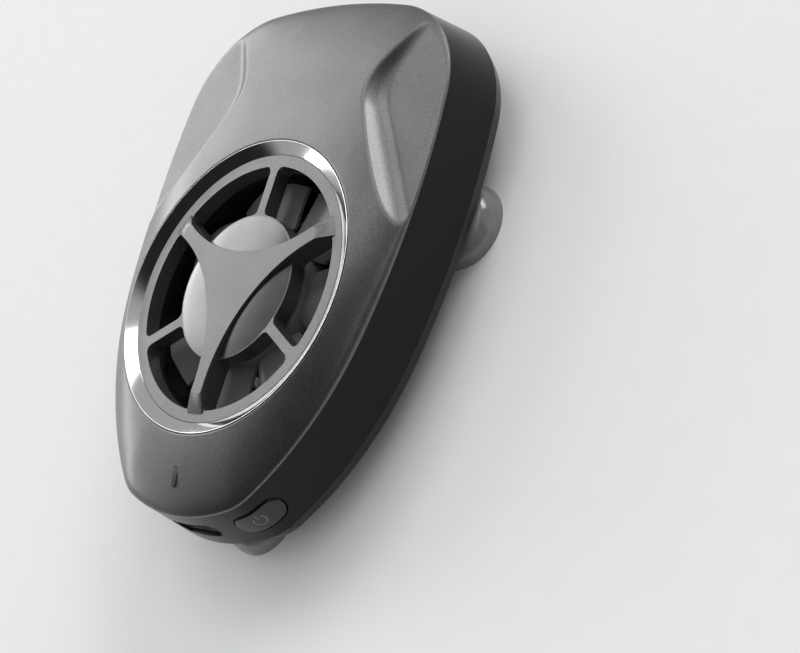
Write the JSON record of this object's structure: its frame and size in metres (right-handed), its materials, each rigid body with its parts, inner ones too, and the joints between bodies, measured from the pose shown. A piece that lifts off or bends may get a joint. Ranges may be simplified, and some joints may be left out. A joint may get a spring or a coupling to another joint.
{
  "type": "phone cooling fan",
  "caption": "Flat clip-free cooler that holds to the back of a phone with suction cups and blows air through a round guarded fan.",
  "frame": {"origin": "centre of the box on the plane on which the suction cups' lips lie", "axes": "+Z along the fan's axis, out of its front; +Y towards the wide end; +X across its width"},
  "size_m": [0.0588, 0.0806, 0.0187],
  "materials": {
    "cover_metal": "fine satin",
    "polished_metal": "mirror polished",
    "black_plastic": "satin",
    "clear_plastic": "smoky translucent",
    "gloss_button": "gloss",
    "switch_parts": "moulded",
    "silicone": "glossy",
    "screw_steel": "plain",
    "fan_plastic": "smooth satin",
    "motor_steel": "plain",
    "magnet_ferrite": "sintered",
    "bronze": "sintered",
    "copper": "enamelled wire",
    "circuit_board": "solder mask",
    "inlet_steel": "drawn",
    "chip_epoxy": "moulded",
    "ceramic": "ceramic",
    "lamp": "clear resin",
    "battery_wrap": "foil",
    "foam": "foam tape"
  },
  "bodies": {
    "case": {"front_cover": "cover_metal", "mid_frame": "black_plastic", "rear_cover": "black_plastic", "bezel_ring": "polished_metal", "fan_guard": "cover_metal", "guard_star": "cover_metal", "light_pipe": "clear_plastic", "cup_left": "silicone", "cup_right": "silicone", "cup_foot": "silicone", "case_screws": "screw_steel", "fan_duct": "black_plastic", "fan_screws": "screw_steel", "bearing_sleeve": "bronze", "stator_core": "motor_steel", "stator_coils": "copper", "motor_board": "circuit_board", "main_board": "circuit_board", "board_screws": "screw_steel", "usb_shell": "inlet_steel", "usb_tongue": "switch_parts", "control_chip": "chip_epoxy", "charge_inductor": "magnet_ferrite", "capacitors": "ceramic", "indicator_lamp": "lamp", "battery": "battery_wrap", "battery_pad": "foam", "switch_body": "switch_parts"},
    "rotor": {"impeller": "fan_plastic", "rotor_yoke": "motor_steel", "rotor_magnet": "magnet_ferrite", "fan_shaft": "screw_steel", "shaft_clip": "screw_steel"},
    "power_button": {"power_button": "gloss_button"},
    "switch_plunger": {"switch_plunger": "switch_parts"}
  },
  "joints": [
    {"name": "fan_spin", "type": "hinge", "parent": "case", "child": "rotor", "pos_m": [0, -0.0061, 0], "axis": [0, 0, 1], "continuous": true},
    {"name": "button_press", "type": "slide", "parent": "case", "child": "power_button", "axis": [-0.5589, 0.8292, 0], "range_m": [0, 0.0004], "stiffness_N_per_m": 500, "springref_m": -0.0002},
    {"name": "plunger_press", "type": "slide", "parent": "case", "child": "switch_plunger", "axis": [-0.5589, 0.8292, 0], "range_m": [0, 0.0004]}
  ],
  "couplings": [
    {"joint": "plunger_press", "follows": "button_press", "ratio": 1}
  ]
}
